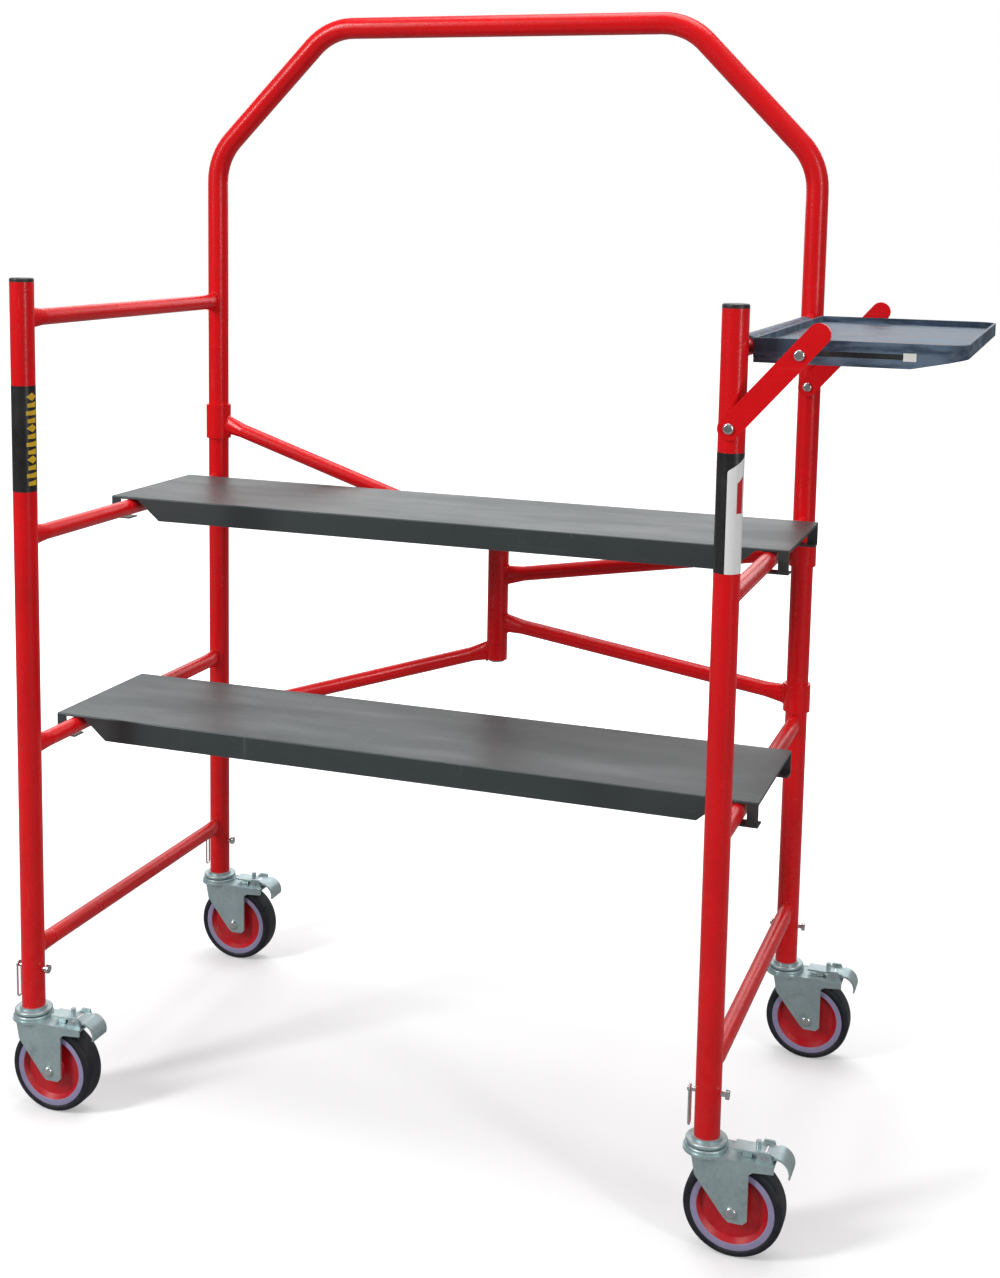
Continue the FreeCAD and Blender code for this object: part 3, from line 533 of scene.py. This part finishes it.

# %% [markdown]
# ## Bright bolts and pins
#
# Bolts, axles and locking pins have a brighter plate, with a fine grain and a few dark smudges of grease.

# %% Plate the bolts
bright, bright_tree, bright_surface = finish_named("bright_bolt_plate")
bright_base = placed(bright_tree, cloudy, Colour=(0.78, 0.79, 0.80, 1), Deeper_Colour=(0.50, 0.51, 0.52, 1),
                     Scale=60.0, Amount=0.6)
grease = band_of(bright_tree, noise(bright_tree, object_place(bright_tree), 110.0, 4.0, 0.6), 0.57, 0.72)
bright_marked = mixed(bright_tree, maths(bright_tree, "MULTIPLY", grease, 0.5), bright_base["Colour"],
                      (0.14, 0.12, 0.10, 1))
bright_rough = band_of(bright_tree, grease, 0.0, 1.0, 0.20, 0.45)
bright_tree.links.new(bright_marked, bright_surface.inputs["Base Color"])
bright_tree.links.new(bright_rough, bright_surface.inputs["Roughness"])
bright_tree.links.new(band_of(bright_tree, grease, 0.0, 1.0, 1.0, 0.6), bright_surface.inputs["Metallic"])
bumped(bright_tree, bright_surface, noise(bright_tree, object_place(bright_tree), 700.0, 2.0), 0.0002, 0.5)
finishes["bright_steel"] = bright
print("finish:", bright.name)

# %% [markdown]
# ## Tyre rubber
#
# The tyres are near-black rubber with a blue cast. The sides keep fine rings from the mould, and the tread is
# scuffed grey where it rolls. The tyre's own UV map runs once round it in one direction and across its skin
# in the other, so a pattern can follow the rubber.

# %% Mix the rubber
rubber, rubber_tree, rubber_surface = finish_named("tyre_rubber", Specular_IOR_Level=0.4)
rubber_map = rubber_tree.nodes.new("ShaderNodeUVMap")
rubber_map.uv_map = "around_and_across"
rubber_uv = node(rubber_tree, "ShaderNodeSeparateXYZ", Vector=rubber_map.outputs[0])
across_skin = rubber_uv.outputs["Y"]
off_middle = maths(rubber_tree, "ABSOLUTE", maths(rubber_tree, "SUBTRACT", across_skin, 0.5))
tread_zone = band_of(rubber_tree, off_middle, 0.10, 0.20, 1.0, 0.0)
scuff = band_of(rubber_tree, noise(rubber_tree, object_place(rubber_tree), 190.0, 6.0, 0.7), 0.40, 0.66)
rubber_base = placed(rubber_tree, cloudy, Colour=(0.006, 0.008, 0.015, 1),
                     Deeper_Colour=(0.011, 0.013, 0.021, 1), Scale=40.0, Amount=0.8)
scuffed_tread = maths(rubber_tree, "MULTIPLY", scuff, tread_zone)
rubber_scuffed = mixed(rubber_tree, maths(rubber_tree, "MULTIPLY", scuffed_tread, 0.5), rubber_base["Colour"],
                       (0.030, 0.032, 0.038, 1))
rubber_rough = band_of(rubber_tree, scuff, 0.0, 1.0, 0.42, 0.68)
rubber_dust = placed(rubber_tree, dusty, Colour=rubber_scuffed, Roughness=rubber_rough, Amount=0.10)
rubber_tree.links.new(rubber_dust["Colour"], rubber_surface.inputs["Base Color"])
rubber_tree.links.new(rubber_dust["Roughness"], rubber_surface.inputs["Roughness"])
bumped(rubber_tree, rubber_surface, noise(rubber_tree, object_place(rubber_tree), 800.0, 4.0, 0.7), 0.0004, 0.6)
finishes["tyre_rubber"] = rubber
print("finish:", rubber.name)

# %% [markdown]
# ## Put the finishes on the frame
#
# Every solid has a slot in its record that names its finish, so one loop dresses them all.

# %% Dress the frame
for name, thing in frame["nodes"].items():
    thing.data.materials.clear()
    thing.data.materials.append(finishes[slots[name]])
print("dressed:", len(frame["nodes"]))


# %% [markdown]
# ## A maker of surfaces
#
# Apart from two plain boxes, every new piece below is a grid of points worked out with whole arrays. A ring
# closes on itself along both of the grid's directions, and a sheet is given a back and a rim, so every piece is
# a closed skin. The signed volume of a closed skin is positive when its faces look outwards, so a negative one
# turns every face over.

# %% The surface maker
def mesh_piece(name, points, quads, body, finish, uv_name=None, corner_uv=None, smooth=True):
    """A closed mesh of quads whose faces look outwards, riding on a body.

    The signed volume is a sixth of the sum, over the triangles a, b, c and a, c, d of each quad, of a dotted
    with the cross product of the triangle's other two corners, all measured from the middle of the points.
    """
    a, b, c, d = (points[quads[:, corner]] - points.mean(0) for corner in range(4))
    volume = ((a * np.cross(b, c)).sum() + (a * np.cross(c, d)).sum()) / 6
    if volume < 0:
        quads = quads[:, ::-1]
        corner_uv = corner_uv[:, ::-1] if corner_uv is not None else None
    mesh = bpy.data.meshes.new(name)
    mesh.from_pydata(points, [], quads)
    if uv_name:
        layer = mesh.uv_layers.new(name=uv_name)
        layer.data.foreach_set("uv", corner_uv.reshape(-1).astype(np.float32))
    mesh.polygons.foreach_set("use_smooth", np.full(len(quads), smooth))
    mesh.materials.append(finish)
    mesh.update()
    thing = bpy.data.objects.new(name, mesh)
    bpy.context.scene.collection.objects.link(thing)
    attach(thing, body)
    return thing


def surface_piece(name, points, body, finish, uv_name=None):
    """A ring-shaped mesh from a grid of points with shape (rows, columns, 3), closed along both directions.

    Row i, column j joins row i + 1 and column j + 1, which start again at 0 past the last. A UV map, if it has a
    name, gives i over the number of rows and j over the number of columns.
    """
    rows, columns, _ = points.shape
    i, j = np.meshgrid(np.arange(rows), np.arange(columns), indexing="ij")
    i, j = i.ravel(), j.ravel()
    next_i, next_j = (i + 1) % rows, (j + 1) % columns
    quads = np.stack([i * columns + j, next_i * columns + j, next_i * columns + next_j, i * columns + next_j], 1)
    corners = np.stack([np.stack(corner, 1) for corner in ((i, j), (i + 1, j), (i + 1, j + 1), (i, j + 1))], 1)
    corner_uv = corners.astype(float) / (rows, columns)
    return mesh_piece(name, points.reshape(-1, 3), quads, body, finish, uv_name, corner_uv)


def turned_about(axis_point, along, radius, turns):
    """Points of an outline turned about a level axis that runs along Y.

    The point at distance `along` and height `radius` goes round the circle at the angles `turns`:
    x is the axis plus radius times cosine, z is the axis plus radius times sine, and y is the axis plus along.
    """
    x = axis_point[0] + radius[None, :] * np.cos(turns)[:, None]
    z = axis_point[2] + radius[None, :] * np.sin(turns)[:, None]
    y = np.broadcast_to(axis_point[1] + along[None, :], x.shape)
    return np.stack([x, y, z], 2)


print("surface maker ready")

# %% [markdown]
# ## Tyres
#
# A real caster tyre is not a plain drum. Its tread is slightly crowned, its shoulders are round, and its sides
# bulge and carry shallow rings. The outline is one closed curve round the tyre's skin, from one edge of the bore
# over the tread to the other edge and back across the bore, and it is turned about the axle. It replaces the
# plain solid and stays inside that solid's box.


# %% Turn the tyres
def tyre_outline(inner, outer, half_width, steps=64):
    """Distances along the axle and radii of a tyre's closed outline.

    The skin is a rounded box. As an angle goes from 0 to pi, the distance along the axle runs from minus to plus
    the half width as the cosine to the power 0.42, and the height above the bore is the tyre's depth times the
    sine to the power 0.36. Two rings on each side are shallow dips of that skin, a cosine hump each.
    """
    turn = np.linspace(0.0, math.pi, steps)
    along = -half_width * np.sign(np.cos(turn)) * np.abs(np.cos(turn)) ** 0.42
    rise = (outer - inner) * np.sin(turn) ** 0.36
    for middle, dip_width in ((0.30, 0.10), (0.62, 0.08)):
        share = np.clip(np.abs(rise / (outer - inner) - middle) / dip_width, 0, 1)
        along = along * (1 - 0.035 * (1 + np.cos(math.pi * share)) / 2)
    bore = np.linspace(half_width, -half_width, 8)[1:-1]
    return np.concatenate([along, bore]), np.concatenate([inner + rise, np.full(len(bore), inner)])


wheel_turns = np.linspace(0, 2 * math.pi, 96, endpoint=False)
wheel_sizes = {}
for name in corner_names:
    low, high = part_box("wheel_tyre_" + name)
    centre = (low + high) / 2
    outer = (high.z - low.z) / 2
    rim_low, rim_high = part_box("wheel_rim_" + name)
    inner = (rim_high.z - rim_low.z) / 2
    half_width = (high.y - low.y) / 2
    wheel_sizes[name] = (centre, inner, half_width)
    along, radius = tyre_outline(inner, outer, half_width)
    tyre = surface_piece("tyre_" + name, turned_about(centre, along, radius, wheel_turns),
                         "wheel_" + name, rubber, uv_name="around_and_across")
    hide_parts("wheel_tyre_" + name)
print("tyres:", len(wheel_sizes), "outer radius", round(outer, 4), "bore", round(inner, 4))

# %% [markdown]
# ## Wheel bands
#
# Between the red wheel centre and the black rubber runs a grey-lilac band, the tread's bonding ring. It stands
# a hair proud of the rim on both sides, so it is a thin, round-edged ring on each face.


# %% Turn the wheel bands
def ring_outline(low_radius, high_radius, face, half_thickness, steps=20):
    """A closed outline like a flat box with round edges.

    The radius runs between the two radii as a cosine's root, and the distance along the axle swings about the
    face by half the thickness times a sine's root, each with its sign.
    """
    turn = np.linspace(0, 2 * math.pi, steps, endpoint=False)
    cosine_root = np.sign(np.cos(turn)) * np.abs(np.cos(turn)) ** 0.5
    sine_root = np.sign(np.sin(turn)) * np.abs(np.sin(turn)) ** 0.5
    radius = (low_radius + high_radius) / 2 + (high_radius - low_radius) / 2 * cosine_root
    return face + half_thickness * sine_root, radius


band_below_bore, band_over_bore = 0.0078, 0.0010
band_set_in, band_half_thickness = 0.0012, 0.0009
band_count = 0
for name, (centre, inner, half_width) in wheel_sizes.items():
    for side, sign in (("front", -1), ("back", 1)):
        along, radius = ring_outline(inner - band_below_bore, inner + band_over_bore,
                                     sign * (half_width - band_set_in), band_half_thickness)
        surface_piece("wheel_band_%s_%s" % (side, name), turned_about(centre, along, radius, wheel_turns),
                      "wheel_" + name, wheel_band_finish)
        band_count += 1
print("wheel bands:", band_count)

# %% [markdown]
# ## Weld beads
#
# Each squashed tube end is welded all round to its post. A bead is a small rope of metal laid in short ripples.
# Its path is where an upright oval meets a round post, and its thickness swells once for each ripple.


# %% Lay the weld beads
def bead_points(axis_point, post_radius, direction, half_across, half_up, bead_radius, ripples):
    """A rippled tube of points round the joint between an oval tube end and an upright post.

    Round the joint, the sideways offset is half_across times the cosine and the height is half_up times the
    sine. The distance from the post's axis is the root of its radius squared less the sideways offset squared.
    A tube that slopes carries its joint up or down by its slope times that distance.
    """
    turn = np.linspace(0, 2 * math.pi, 6 * ripples, endpoint=False)
    sideways = half_across * np.cos(turn)
    up = half_up * np.sin(turn)
    out = np.sqrt(post_radius ** 2 - sideways ** 2)
    out_way = np.array([direction[0], direction[1], 0.0])
    out_way /= np.linalg.norm(out_way)
    side_way = np.array([-out_way[1], out_way[0], 0.0])
    slope = direction[2] / math.hypot(direction[0], direction[1])
    path = np.array(axis_point)[None, :] + out[:, None] * out_way + sideways[:, None] * side_way
    path[:, 2] += up + slope * out
    tangent = np.roll(path, -1, 0) - np.roll(path, 1, 0)
    tangent /= np.linalg.norm(tangent, axis=1)[:, None]
    first = np.broadcast_to(out_way, path.shape)
    first = first - (first * tangent).sum(1)[:, None] * tangent
    first /= np.linalg.norm(first, axis=1)[:, None]
    second = np.cross(tangent, first)
    thickness = bead_radius * (1 + 0.14 * np.cos(ripples * turn))
    around = np.linspace(0, 2 * math.pi, 8, endpoint=False)[None, :, None]
    spoke = np.cos(around) * first[:, None, :] + np.sin(around) * second[:, None, :]
    return path[:, None, :] + thickness[:, None, None] * spoke


post_box = {name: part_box(name + "_post") for name in corner_names}
post_radius = (post_box["front_left"][1].x - post_box["front_left"][0].x) / 2
post_axis = {name: (low + high) / 2 for name, (low, high) in post_box.items()}
across_share = 0.69  # half width of a squashed tube end, over the tube's radius
bead_radius = 0.0017
ripple_count = 34
bead_count = 0
for side in ("left", "right"):
    for level in ("bottom", "lower", "upper", "top"):
        low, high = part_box("%s_%s_rung" % (side, level))
        tube_radius = (high.x - low.x) / 2
        centre_z = (low.z + high.z) / 2
        for end, way in (("front", 1.0), ("back", -1.0)):
            axis = post_axis["%s_%s" % (end, side)]
            points = bead_points((axis.x, axis.y, centre_z), post_radius, (0.0, way, 0.0),
                                 tube_radius * across_share, (high.z - low.z) / 2, bead_radius, ripple_count)
            surface_piece("weld_%s_%s_rung_%s" % (side, level, end), points, "frame", red)
            bead_count += 1
print("weld beads on the rungs:", bead_count)

# %% Lay the gate's weld beads
knuckle_low, knuckle_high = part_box("left_gate_knuckles")
hinge_axis = (knuckle_low + knuckle_high) / 2
knuckle_radius = (knuckle_high.x - knuckle_low.x) / 2
up_share = 1.28     # half height of a squashed end, over the tube's radius
slope_share = 0.6   # share of a sloping tube's rise, from axis to joint, that the bead gives back
for side in ("left", "right"):
    sleeve_low, sleeve_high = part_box(side + "_gate_sleeves")
    sleeve_radius = (sleeve_high.x - sleeve_low.x) / 2
    sleeve_axis = (sleeve_low + sleeve_high) / 2
    for level in ("lower", "upper"):
        low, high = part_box("%s_gate_%s_tube" % (side, level))
        tube_radius = (high.y - low.y) / 2
        half_up = up_share * tube_radius
        bottom_z, top_z = low.z + half_up, high.z - half_up
        sleeve_z, knuckle_z = (bottom_z, top_z) if level == "lower" else (top_z, bottom_z)
        way = Vector((hinge_axis.x - sleeve_axis.x, 0.0, knuckle_z - sleeve_z))
        for end, axis, radius, z, run in (("sleeve", sleeve_axis, sleeve_radius, sleeve_z, way),
                                          ("knuckle", hinge_axis, knuckle_radius, knuckle_z, -way)):
            inset = radius * way.z / abs(way.x) * (1 if end == "sleeve" else -1)
            points = bead_points((axis.x, axis.y, z - inset * slope_share), radius, run,
                                 tube_radius * across_share, half_up, bead_radius, ripple_count)
            surface_piece("weld_%s_gate_%s_%s" % (side, level, end), points, "frame", red)
            bead_count += 1
print("weld beads in all:", bead_count)

# %% [markdown]
# ## Labels
#
# Two vinyl labels wrap the front posts. The left one is black with a column of yellow marks, and the right one
# is white with a black side that starts at a slant and a small red block. The marks here are plain bars and
# diamonds, with no wording. A label is a thin sheet, so it is a patch of a cylinder a fraction of a millimetre
# outside the paint, and each mark is a smaller patch just outside that. Each patch has many points round the
# post, because a flat face between two points dips towards the axis, and a wide one would reach the sheet beneath.


# %% The label maker
label_gap = 0.0001
sheet_thickness = 0.00008


def wrapped_patch(name, axis, radius, outline, finish, steps_round=24, steps_up=24):
    """A thin sheet wrapped on an upright cylinder, riding on the frame.

    `outline` takes two arrays from 0 to 1, across and up, and gives angles about the axis and heights. A point
    is the axis plus the radius times the angle's cosine and sine. The back is the same grid at a slightly
    smaller radius, and a rim of quads joins the border of the front to the border of the back.
    """
    across, up = np.meshgrid(np.linspace(0, 1, steps_round), np.linspace(0, 1, steps_up), indexing="ij")
    angle, z = outline(across, up)
    layers = [np.stack([axis[0] + r * np.cos(angle), axis[1] + r * np.sin(angle), z], 2).reshape(-1, 3)
              for r in (radius, radius - sheet_thickness)]
    front = np.arange(steps_round * steps_up).reshape(steps_round, steps_up)
    cells = np.stack([front[:-1, :-1], front[1:, :-1], front[1:, 1:], front[:-1, 1:]], 2).reshape(-1, 4)
    border = np.concatenate([front[:, 0], front[-1, 1:], front[-2::-1, -1], front[0, -2:0:-1]])
    onward = np.roll(border, -1)
    rim = np.stack([onward, border, border + front.size, onward + front.size], 1)
    quads = np.concatenate([cells, cells[:, ::-1] + front.size, rim])
    return mesh_piece(name, np.concatenate(layers), quads, "frame", finish, smooth=False)


def block_outline(first_angle, last_angle, low_z, high_z, slant=0.0):
    """A rectangle whose upper edge rises by `slant`, up to high_z, from its first side to its last."""
    def outline(across, up):
        top = high_z + slant * (across - 1.0)
        return first_angle + (last_angle - first_angle) * across, low_z + (top - low_z) * up
    return outline


def diamond_outline(middle_angle, half_angle, middle_z, half_height):
    """A diamond, whose width falls evenly from its middle to almost nothing at the top and bottom."""
    def outline(across, up):
        level = 2 * up - 1
        reach = half_angle * (1 - 0.97 * np.abs(level))
        return middle_angle + (2 * across - 1) * reach, middle_z + level * half_height
    return outline


def slanted_outline(first_angle, low_angle, high_angle, low_z, high_z, slant_height):
    """A strip whose far edge is upright at low_angle, then leans out to high_angle over the top slant_height."""
    def outline(across, up):
        z = low_z + (high_z - low_z) * up
        lean = np.clip((z - (high_z - slant_height)) / slant_height, 0, 1)
        return first_angle + (low_angle + (high_angle - low_angle) * lean - first_angle) * across, z
    return outline


label_black = moulding("label_black_vinyl", (0.012, 0.012, 0.013, 1), (0.025, 0.025, 0.026, 1), 0.26, 0.38, 0.12,
                       500.0, 0.0001)
label_white = moulding("label_white_vinyl", (0.93, 0.93, 0.93, 1), (0.86, 0.86, 0.85, 1), 0.26, 0.38, 0.12,
                       500.0, 0.0001)
label_yellow = moulding("label_yellow_ink", (0.78, 0.50, 0.02, 1), (0.60, 0.36, 0.01, 1), 0.30, 0.42, 0.10,
                        500.0, 0.0001)
label_red = moulding("label_red_ink", (0.66, 0.02, 0.03, 1), (0.50, 0.01, 0.02, 1), 0.30, 0.42, 0.10,
                     500.0, 0.0001)
print("label finishes ready")

# %% The left label
label_back = math.radians(-200)
left_axis = post_axis["front_left"]
post_top = post_box["front_left"][1].z
left_bottom_depth, left_top_depth = 0.271, 0.133  # below the post's top
left_low, left_high = post_top - left_bottom_depth, post_top - left_top_depth
wrapped_patch("left_label", left_axis, post_radius + label_gap,
              block_outline(label_back, math.radians(35), left_low, left_high),
              label_black, 96, 8)
mark_angle = math.radians(-14)
bar_half_height, bar_slant, diamond_half_height = 0.0035, 0.002, 0.0052
mark_heights = np.linspace(left_low + 0.012, left_high - 0.014, 12)
for number, z in enumerate(mark_heights):
    if number % 4 == 3:
        shape = diamond_outline(mark_angle, math.radians(30), z, diamond_half_height)
    else:
        wide = math.radians(31 if number % 2 else 24)
        shape = block_outline(mark_angle - wide, mark_angle + wide, z - bar_half_height, z + bar_half_height,
                              bar_slant)
    wrapped_patch("left_label_mark_%02d" % number, left_axis, post_radius + 2 * label_gap, shape,
                  label_yellow, 16, 9)
print("left label:", round(left_high - left_low, 3), "m tall with", len(mark_heights), "marks")

# %% The right label
right_axis = post_axis["front_right"]
right_bottom_depth, right_top_depth = 0.298, 0.161  # below the post's top
right_low, right_high = post_top - right_bottom_depth, post_top - right_top_depth
wrapped_patch("right_label", right_axis, post_radius + label_gap,
              block_outline(label_back, math.radians(24), right_low, right_high),
              label_white, 96, 8)
slant_height = 0.020
wrapped_patch("right_label_black_side", right_axis, post_radius + 2 * label_gap,
              slanted_outline(label_back, math.radians(-90), math.radians(22), right_low, right_high,
                              slant_height), label_black, 96, 72)
block_low, block_high, block_slant = right_high - 0.068, right_high - 0.026, 0.008
wrapped_patch("right_label_red_block", right_axis, post_radius + 2 * label_gap,
              block_outline(math.radians(-46), math.radians(-14), block_low, block_high, block_slant),
              label_red, 16, 12)
print("right label:", round(right_high - right_low, 3), "m tall")

# %% [markdown]
# ## Painted shade behind the tray's slots
#
# Each side of the tray has a slot in which the arm's bolt slides. Behind the slot the moulding is deep and lies in
# shade, so a dark strip closes it as painted shade, set back a little from the wall's outer face. The strip ends
# at the nylon stop.

# %% Fill the slots with painted shade
tray_low, tray_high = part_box("tool_tray")
stop_low, stop_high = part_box("tray_slot_stops")
slot_length, half_slot = 0.101, 0.003
set_back, strip_depth = 0.0009, 0.0015
slot_z = (stop_low.z + stop_high.z) / 2
box_corners = np.array([(x, y, z) for x in (0, 1) for y in (0, 1) for z in (0, 1)], float)
box_quads = np.array([(0, 1, 3, 2), (4, 6, 7, 5), (0, 4, 5, 1), (2, 3, 7, 6), (0, 2, 6, 4), (1, 5, 7, 3)])
# Each strip is painted shade: a dark sheet set where the slot holds only shade.
for side, face, inward in (("front", tray_low.y, 1.0), ("back", tray_high.y, -1.0)):
    near_y, far_y = sorted((face + inward * set_back, face + inward * (set_back + strip_depth)))
    low = np.array([stop_low.x - slot_length, near_y, slot_z - half_slot])
    high = np.array([stop_low.x, far_y, slot_z + half_slot])
    mesh_piece("tray_slot_painted_shade_" + side, low + (high - low) * box_corners, box_quads, "tray",
               finishes["black_plastic"], smooth=False)
print("painted slot shade strips: 2, each", slot_length, "m long")
